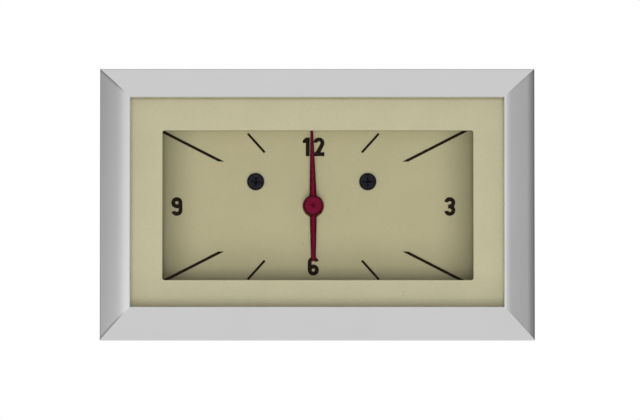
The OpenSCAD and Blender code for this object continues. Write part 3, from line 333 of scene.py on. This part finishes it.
def metal(name, colour, low, high, grain=EVEN, tone=0.12):
    """Bare metal with a directional grain, uneven tone and softened edges."""
    b = Build(name, metallic=1.0)
    b.colour(b.ramp(b.noise(180, 4), [(0.28, shade(colour, 1 - tone)), (0.72, shade(colour, 1 + tone))]))
    marks = b.noise(1500, 3, vector=b.stretched(grain))
    b.rough(b.between(marks, low, high))
    b.normal(b.bump(marks, 0.000012, 0.5, 0.00008))
    return b.mat


def plated_sheet():
    """Zinc plated sheet: crystal spangle, a pale passivation bloom and dull handled patches."""
    b = Build("plated_sheet", metallic=1.0)
    spangle = b.ramp(b.cells(260)["Color"], [(0.1, srgb(176, 175, 166)), (0.9, srgb(203, 202, 192))])
    bloom = b.ramp(b.noise(55, 5), [(0.35, srgb(196, 190, 168)), (0.6, srgb(190, 191, 188))])
    b.colour(b.mix(0.45, spangle, bloom))
    b.rough(b.between(b.noise(120, 4), 0.3, 0.48))
    b.normal(b.bump(b.noise(900, 3), 0.00001, 0.4, 0.00015))
    return b.mat


# Slope of a hand's faces, as the y of their direction, where the painted shade of the sloping sides begins
# and where it is full
HAND_SLOPE = (-0.995, -0.94)


def hand_lacquer():
    """Crimson lacquer, full on the flats, with painted shade on the sloping sides."""
    b = Build("hand_paint", specular=0.07)
    facing = b.axes(b.node("ShaderNodeNewGeometry").outputs["True Normal"])["Y"]
    cloud = b.noise(420, 4)
    flats = b.ramp(cloud, [(0.3, shade(CRIMSON, 0.92)), (0.7, shade(CRIMSON, 1.08))])
    sides = b.ramp(cloud, [(0.3, shade(CRIMSON_SHADED, 0.92)), (0.7, shade(CRIMSON_SHADED, 1.08))])
    # Painted shade on the sloping sides
    b.colour(b.mix(b.span(facing, *HAND_SLOPE), flats, sides))
    b.rough(b.between(b.noise(900, 2), 0.3, 0.45))
    b.normal(b.bump(b.noise(2400, 2), 0.000008, 0.4, 0.00006))
    return b.mat


def moulding(name, colour, low, high):
    """Moulded or pressed insulation with flow marks and a fibrous grain."""
    b = Build(name)
    flow = b.noise(160, 5, 0.6, b.stretched((1, 0.3, 1)))
    b.colour(b.ramp(flow, [(0.3, shade(colour, 0.75)), (0.7, shade(colour, 1.25))]))
    b.rough(b.between(b.noise(600, 3), low, high))
    b.normal(b.bump(b.noise(1500, 3), 0.000015, 0.5, 0.00012))
    return b.mat


def printed_ink():
    """Screen-printed ink of slightly uneven cover."""
    b = Build("printed_ink", specular=0.06)
    b.colour(b.ramp(b.noise(1500, 3), [(0.25, srgb(42, 32, 25)), (0.6, srgb(27, 19, 14))]))
    b.rough(b.between(b.noise(900, 2), 0.5, 0.7))
    b.normal(b.bump(b.noise(2200, 2), 0.00001, 0.4))
    return b.mat


# Depth below the top of a screw head, in mm, where its worn finish turns to painted shade and where the
# shade is full
RECESS_SHADE_DEPTH = (0.03, 0.28)


def black_screw():
    """Blackened steel, worn to a dull grey on top of the head, with painted shade in the recess."""
    b = Build("black_screw", specular=0.05)
    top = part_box("dial_screws")[0].y
    # Painted shade in the cross recess, darker with depth
    recess_shade = b.span(b.axes(b.where)["Y"], top + RECESS_SHADE_DEPTH[0] * MM, top + RECESS_SHADE_DEPTH[1] * MM)
    worn = b.ramp(b.noise(900, 4), [(0.3, srgb(26, 25, 32)), (0.75, srgb(42, 41, 47))])
    b.colour(b.mix(recess_shade, worn, srgb(9, 8, 9)))
    b.rough(b.between(b.noise(1400, 3), 0.3, 0.45))
    b.normal(b.bump(b.noise(1800, 3), 0.00001, 0.4, 0.00015))
    return b.mat


def window_glass(name, blend):
    """Thin clear glass: a mirror that shows by the Fresnel share and lets the rest through."""
    b = Build(name, metallic=1.0)
    b.shader.inputs["Base Color"].default_value = GLASS_TINT
    weight = b.node("ShaderNodeLayerWeight")
    weight.inputs["Blend"].default_value = blend
    b.rough(b.between(b.noise(120, 3), 0.015, 0.05))
    b.feed(b.shader.inputs["Alpha"], weight.outputs["Fresnel"])
    return b.mat


# Pitch of the coil's wire in m, and the phase that a band pattern of scale 1 gains in 1 m
WIRE_PITCH = 0.0003
BAND_PHASE = 20


def wound_wire():
    """Enamelled copper wire laid side by side along the coil."""
    b = Build("wound_wire", metallic=1.0)
    wave = b.node("ShaderNodeTexWave", wave_type="BANDS", bands_direction="X", wave_profile="SIN")
    wave.inputs["Scale"].default_value = 2 * math.pi / WIRE_PITCH / BAND_PHASE
    b.feed(wave.inputs["Vector"], b.where)
    b.colour(b.ramp(wave.outputs["Fac"], [(0.1, srgb(96, 42, 20)), (0.8, srgb(190, 104, 60))]))
    b.rough(b.between(b.noise(900, 2), 0.25, 0.4))
    b.normal(b.bump(wave.outputs["Fac"], 0.0001, 0.8))
    return b.mat


def gasket_rubber():
    """Old black rubber with a dusty olive bloom."""
    b = Build("gasket_rubber")
    b.colour(b.ramp(b.noise(500, 4), [(0.3, srgb(120, 117, 96)), (0.7, srgb(142, 139, 116))]))
    b.rough(b.between(b.noise(700, 3), 0.7, 0.9))
    b.normal(b.bump(b.noise(1600, 3), 0.00002, 0.5))
    return b.mat


LOOKS = {
    "mask_paint": cream_paint("mask_paint", CREAM_MASK, 420, MASK_PAINTED_SHADE),
    "dial_paint": cream_paint("dial_paint", CREAM_DIAL, 380, DIAL_PAINTED_SHADE),
    "chrome": chrome_plate(),
    "ink": printed_ink(),
    "hand_paint": hand_lacquer(),
    "black_steel": black_screw(),
    "front_glass": window_glass("front_glass", 0.08),
    "bulb_glass": window_glass("bulb_glass", 0.4),
    "plated_sheet": plated_sheet(),
    "brass": metal("turned_brass", BRASS, 0.2, 0.38, TURNED),
    "steel": metal("turned_steel", STEEL, 0.22, 0.42, TURNED),
    "blue_steel": metal("blue_steel", BLUED_STEEL, 0.2, 0.35, tone=0.25),
    "copper_wire": wound_wire(),
    "fibre": moulding("pressed_fibre", RED_FIBRE, 0.55, 0.75),
    "bakelite": moulding("bakelite", DARK_BROWN, 0.22, 0.4),
    "gasket_rubber": gasket_rubber(),
}
slot_of = {part["node"]: part["material_slot"] for part in frame["record"]["subparts"]}
for name, obj in nodes.items():
    obj.data.materials.clear()
    obj.data.materials.append(LOOKS[slot_of[name]])


# Finer pieces in place of plain solids
def new_piece(name, mesh, body, slot, *stands_for):
    """A piece that rides on a body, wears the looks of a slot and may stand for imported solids."""
    obj = bpy.data.objects.new(name, mesh)
    bpy.context.scene.collection.objects.link(obj)
    obj.data.materials.append(LOOKS[slot])
    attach(obj, body)
    if stands_for:
        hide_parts(*stands_for)
    return obj


def mesh_from(bm, name):
    """The finished mesh of a shape."""
    mesh = bpy.data.meshes.new(name)
    bm.to_mesh(mesh)
    bm.free()
    return mesh


# Bezel section in mm, across the rail from the outer edge inwards and forward from the panel seat
RAIL_W = 7.8
RIM_H = 2.0
CREST_Z = 8.0
CREST_R = 0.4
LIP_Z = 6.2
LIP_LAP = 1.5
FLANGE_Z = 2.2
SEAT_W = 2.6
EDGE_R = 1.0
# Curve of the face, and the steps in which the section's curves are drawn
FACE_POWER = 1.6
FACE_STEPS = 40
EDGE_STEPS = 8
CREST_STEPS = 12


def bezel_section():
    """The rail's outline as (across, forward, is_sharp), round the section."""
    run = RAIL_W - CREST_R
    rise = CREST_Z - RIM_H
    # The rim turns into the face on a radius that touches both
    turn = math.radians(90) - math.atan2(FACE_POWER * rise, run)
    tangent = EDGE_R * math.tan(turn / 2)
    points = [(0.0, 0.0, True)]
    for i in range(EDGE_STEPS + 1):
        a = turn * i / EDGE_STEPS
        points.append((EDGE_R * (1 - math.cos(a)), RIM_H - tangent + EDGE_R * math.sin(a), False))
    edge_end = points[-1][0]
    for i in range(1, FACE_STEPS):
        t = i / FACE_STEPS
        if run * t > edge_end:
            points.append((run * t, RIM_H + rise * (1 - (1 - t) ** FACE_POWER), False))
    for i in range(CREST_STEPS + 1):
        a = math.radians(90 - 90 * i / CREST_STEPS)
        points.append((run + CREST_R * math.cos(a), CREST_Z - CREST_R + CREST_R * math.sin(a), False))
    points += [
        (RAIL_W, LIP_Z, True),
        (RAIL_W - LIP_LAP, LIP_Z, True),
        (RAIL_W - LIP_LAP, FLANGE_Z, True),
        (SEAT_W, FLANGE_Z, True),
        (SEAT_W, 0.0, True),
    ]
    return points


def bezel_mesh():
    """Four mitred rails swept from one section, smooth along it and crisp at the mitres."""
    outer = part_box("bezel")[1]
    section = bezel_section()
    bm = bmesh.new()
    loops = []
    for sx, sz in ((-1, -1), (1, -1), (1, 1), (-1, 1)):
        loop = []
        for across, forward, _ in section:
            place = (sx * (outer.x - across * MM), -forward * MM, sz * (outer.z - across * MM))
            loop.append(bm.verts.new(place))
        loops.append(loop)
    for here, there in zip(loops, loops[1:] + loops[:1]):
        for i in range(len(section)):
            j = (i + 1) % len(section)
            face = bm.faces.new((here[i], here[j], there[j], there[i]))
            face.smooth = True
    sharp = {v for loop in loops for v, point in zip(loop, section) if point[2]}
    owner = {v: c for c, loop in enumerate(loops) for v in loop}
    for edge in bm.edges:
        same_corner = owner[edge.verts[0]] == owner[edge.verts[1]]
        along_sharp = not same_corner and edge.verts[0] in sharp
        edge.smooth = not (same_corner or along_sharp)
    bmesh.ops.recalc_face_normals(bm, faces=bm.faces)
    return mesh_from(bm, "bezel_rails")


bezel_rails = new_piece("bezel_rails", bezel_mesh(), "case", "chrome")

# Holding tabs in mm: thickness, length, reach inwards, root inside the rail, and rounding of their edges
TAB_T = 0.8
TAB_L = 8.0
TAB_REACH = 2.0
TAB_ROOT = 0.2
TAB_EDGE = 0.1
TAB_EDGE_STEPS = 2


def add_box(bm, lo, hi):
    """A closed box between two corners."""
    corners = [(x, y, z) for x in (lo[0], hi[0]) for y in (lo[1], hi[1]) for z in (lo[2], hi[2])]
    v = [bm.verts.new(c) for c in corners]
    for quad in ((0, 1, 3, 2), (4, 6, 7, 5), (0, 4, 5, 1), (2, 3, 7, 6), (0, 2, 6, 4), (1, 5, 7, 3)):
        bm.faces.new([v[i] for i in quad])


def tab_mesh():
    """Holding tabs folded in behind the case flange, two on each long side and one on each short one."""
    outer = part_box("bezel")[1]
    inner_x = outer.x - SEAT_W * MM
    inner_z = outer.z - SEAT_W * MM
    half = TAB_L * MM / 2
    front = -TAB_T * MM
    bm = bmesh.new()
    for s in (-1, 1):
        z = sorted((s * (inner_z + TAB_ROOT * MM), s * (inner_z - TAB_REACH * MM)))
        for x in (-outer.x / 2, outer.x / 2):
            add_box(bm, (x - half, front, z[0]), (x + half, 0, z[1]))
        x = sorted((s * (inner_x + TAB_ROOT * MM), s * (inner_x - TAB_REACH * MM)))
        add_box(bm, (x[0], front, -half), (x[1], 0, half))
    bmesh.ops.recalc_face_normals(bm, faces=bm.faces)
    return mesh_from(bm, "bezel_tabs")


bezel_tabs = new_piece("bezel_tabs", tab_mesh(), "case", "chrome")
soft_edge = bezel_tabs.modifiers.new("soft_edge", "BEVEL")
soft_edge.width = TAB_EDGE * MM
soft_edge.segments = TAB_EDGE_STEPS
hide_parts("bezel")

# Mounting studs in mm: a head inside the case, a shoulder pressed in its floor, and a cut thread
STUD_R = 2.0
STUD_SHOULDER_R = 2.3
STUD_HEAD_T = 1.0
STUD_FLOOR_T = 1.0
STUD_CHAMFER = 0.6
THREAD_PITCH = 0.7
THREAD_DEPTH = 0.38
# Rings in a pitch, sides of a ring, and the angle from which an edge is crisp
THREAD_RINGS = 7
STUD_SIDES = 36
CREASE = math.radians(40)


def stud_rings(head_r, length):
    """Depth and radius at each side, from the head's front face back to the tip."""
    start = STUD_HEAD_T + STUD_FLOOR_T
    plain = [
        (0.0, head_r),
        (STUD_HEAD_T, head_r),
        (STUD_HEAD_T, STUD_SHOULDER_R),
        (start, STUD_SHOULDER_R),
        (start, STUD_R - THREAD_DEPTH),
    ]
    rings = [(depth, [r] * STUD_SIDES) for depth, r in plain]
    count = round((length - start) / THREAD_PITCH * THREAD_RINGS)
    for i in range(1, count + 1):
        along = (length - start) * i / count
        from_tip = length - start - along
        limit = STUD_R - max(0.0, STUD_CHAMFER - from_tip)
        radii = []
        for j in range(STUD_SIDES):
            turn = (along / THREAD_PITCH - j / STUD_SIDES) % 1.0
            groove = 1 - abs(2 * turn - 1)
            radii.append(min(limit, STUD_R - THREAD_DEPTH * groove))
        rings.append((start + along, radii))
    return rings


def stud_mesh():
    """Both mounting studs, each lofted through its rings and closed at its ends."""
    lo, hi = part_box("mounting_studs")
    head_r = (hi.z - lo.z) / 2
    rings = stud_rings(head_r / MM, (hi.y - lo.y) / MM)
    bm = bmesh.new()
    for x in (lo.x + head_r, hi.x - head_r):
        loops = []
        for depth, radii in rings:
            loop = []
            for j, r in enumerate(radii):
                a = 2 * math.pi * j / STUD_SIDES
                place = (x + r * MM * math.cos(a), lo.y + depth * MM, r * MM * math.sin(a))
                loop.append(bm.verts.new(place))
            loops.append(loop)
        for near, far in zip(loops, loops[1:]):
            for j in range(STUD_SIDES):
                k = (j + 1) % STUD_SIDES
                bm.faces.new((near[j], near[k], far[k], far[j]))
        bm.faces.new(loops[0])
        bm.faces.new(loops[-1])
    bmesh.ops.recalc_face_normals(bm, faces=bm.faces)
    for face in bm.faces:
        face.smooth = True
    for edge in bm.edges:
        edge.smooth = edge.calc_face_angle(0.0) < CREASE
    return mesh_from(bm, "stud_threads")


new_piece("stud_threads", stud_mesh(), "case", "steel", "mounting_studs")


def drive_spring():
    """A copy of the spring solid's own shape, riding on the case in place of the solid."""
    coil = nodes["drive_spring"].data.copy()
    coil.materials.clear()
    piece = new_piece("drive_spring_coil", coil, "case", slot_of["drive_spring"], "drive_spring")
    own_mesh(piece)


drive_spring()

# Stage. A range is the part of a direction's x, y or z over which a list of (place in the range, level) runs

# Soft fill on paint and mouldings, from below to above
FILL_RANGE = (-0.7, 0.7)
FILL_LEVELS = [(0.0, 0.65), (0.5, 0.42), (1.0, 0.16)]
# What gloss mirrors in the open middle of the room, and how far aside the walls begin and are full
OPEN_LEVEL = 0.75
WALL_START = 0.06
WALL_FULL = 0.2
# What gloss mirrors on the walls, from the front of the room to the back
WALL_RANGE = (-1.0, 0.3)
LEFT_WALL = [
    (0.0, 0.87), (0.19, 0.825), (0.29, 0.79), (0.385, 0.715), (0.47, 0.637),
    (0.55, 0.6), (0.615, 0.557), (0.78, 0.515), (0.935, 0.464), (1.0, 0.45),
]
RIGHT_WALL = [
    (0.0, 0.85), (0.1, 0.68), (0.2, 0.58), (0.32, 0.515), (0.6, 0.49),
    (0.855, 0.462), (0.905, 0.33), (0.945, 0.24), (1.0, 0.15),
]
# The left wall dims with height
LEFT_RANGE = (0.085, 0.125)
LEFT_FALL = [(0.0, 1.2), (0.5, 1.0), (1.0, 0.75)]
# Behind the clock a dark band comes first, and then a bright wall
REAR_RANGE = (0.4, 1.0)
REAR_BAND = [(0.0, 1.0), (0.15, 0.15), (0.4, 0.15), (0.6, 1.0)]
REAR_WALL = [(0.55, 0.0), (0.8, 1.0)]
REAR_LEVEL = 0.8
# Floor: its height and size in m, and the share of plain white that the camera sees over its shadow
FLOOR_Z = -0.42
FLOOR_SIZE = 6
FLOOR_GLOW = 0.8
# In reflections the floor falls to the side level between these distances from its middle line, in m
FLOOR_FALL = (0.15, 0.75)
FLOOR_SIDE = 0.3
# Lamps: place, point that they face, width and height in m, and power in W
FRONT_KEY = ((0.0, -0.62, -0.19), (0, 0, 0), (0.28, 0.44), 2.62)
REAR_FILL = ((0.3, 0.9, 0.7), (0, 0.02, 0), (0.8, 0.8), 5.0)


def floor_material():
    """Pale floor that keeps a soft shadow, dims to its sides in reflections and is clear from below."""
    b = Build("stage_floor", specular=0.1)
    b.colour(b.levels(b.noise(6, 3), [(0.3, 0.86), (0.7, 0.9)]))
    b.rough(b.between(b.noise(40, 2), 0.8, 0.9))
    path = b.node("ShaderNodeLightPath").outputs
    aside = b.calc("ABSOLUTE", b.axes(b.where)["X"])
    mirrored = b.between(aside, OPEN_LEVEL, FLOOR_SIDE, *FLOOR_FALL)
    glow = b.node("ShaderNodeEmission")
    b.feed(glow.inputs["Strength"], b.between(path["Is Glossy Ray"], 1.0, mirrored))
    glow_share = b.calc("MULTIPLY_ADD", path["Is Camera Ray"], FLOOR_GLOW, path["Is Glossy Ray"])
    clear = b.node("ShaderNodeBsdfTransparent")
    below = b.node("ShaderNodeNewGeometry").outputs["Backfacing"]
    surface = b.shader.outputs[0]
    for shader, share in ((glow, glow_share), (clear, below)):
        blend = b.node("ShaderNodeMixShader")
        for socket, value in zip(blend.inputs, (share, surface, shader.outputs[0])):
            b.feed(socket, value)
        surface = blend.outputs[0]
    b.feed(b.tree.nodes["Material Output"].inputs["Surface"], surface)
    return b.mat


bpy.ops.mesh.primitive_plane_add(size=FLOOR_SIZE, location=(0, 0, FLOOR_Z))
floor = bpy.context.object
floor.name = "stage_floor"
floor.data.materials.append(floor_material())


def studio_world():
    """White to the camera and through glass; a soft studio to gloss; a soft fill to everything else."""
    world = bpy.data.worlds.new("studio")
    bpy.context.scene.world = world
    world.use_nodes = True
    world.node_tree.nodes.clear()
    w = Shading(world.node_tree)
    x, y, z = w.axes(w.node("ShaderNodeTexCoord").outputs["Generated"])
    depth = w.span(y, *WALL_RANGE)
    left = w.mix(1.0, w.levels(depth, LEFT_WALL), w.levels(w.span(z, *LEFT_RANGE), LEFT_FALL), "MULTIPLY")
    right = w.levels(depth, RIGHT_WALL)
    gloss = w.mix(w.span(x, -WALL_START, -WALL_FULL), grey(OPEN_LEVEL), left)
    gloss = w.mix(w.span(x, WALL_START, WALL_FULL), gloss, right)
    rear = w.span(y, *REAR_RANGE)
    gloss = w.mix(1.0, gloss, w.levels(rear, REAR_BAND), "MULTIPLY")
    gloss = w.mix(w.levels(rear, REAR_WALL), gloss, grey(REAR_LEVEL))
    path = w.node("ShaderNodeLightPath").outputs
    seen = w.mix(path["Is Glossy Ray"], w.levels(w.span(z, *FILL_RANGE), FILL_LEVELS), gloss)
    seen = w.mix(path["Is Transmission Ray"], seen, WHITE)
    seen = w.mix(path["Is Camera Ray"], seen, WHITE)
    background = w.node("ShaderNodeBackground")
    w.feed(background.inputs["Color"], seen)
    w.feed(w.node("ShaderNodeOutputWorld").inputs["Surface"], background.outputs[0])


studio_world()


def soft_light(name, place, target, size, energy):
    """A rectangular lamp that faces its target and shows neither itself nor its reflection."""
    data = bpy.data.lights.new(name, "AREA")
    data.shape = "RECTANGLE"
    data.size = size[0]
    data.size_y = size[1]
    data.energy = energy
    obj = bpy.data.objects.new(name, data)
    bpy.context.scene.collection.objects.link(obj)
    obj.location = place
    obj.rotation_mode = "QUATERNION"
    obj.rotation_quaternion = (Vector(target) - Vector(place)).to_track_quat("-Z", "Y")
    obj.visible_camera = False
    obj.visible_glossy = False


soft_light("front_key", *FRONT_KEY)
soft_light("rear_fill", *REAR_FILL)

scene = bpy.context.scene
scene.view_settings.view_transform = "Standard"
camera = bpy.data.objects.new("camera", bpy.data.cameras.new("camera"))
scene.collection.objects.link(camera)
camera.data.lens = LENS
camera.data.sensor_width = SENSOR
elevation = math.radians(VIEW_ELEVATION)
back = Vector((0, -math.cos(elevation), math.sin(elevation)))
aim = Vector((AIM_RIGHT_PX * PX, 0, -AIM_DOWN_PX * PX))
camera.location = aim + back * VIEW_DISTANCE
camera.rotation_mode = "QUATERNION"
camera.rotation_quaternion = (-back).to_track_quat("-Z", "Y")
scene.camera = camera

bpy.context.view_layer.update()
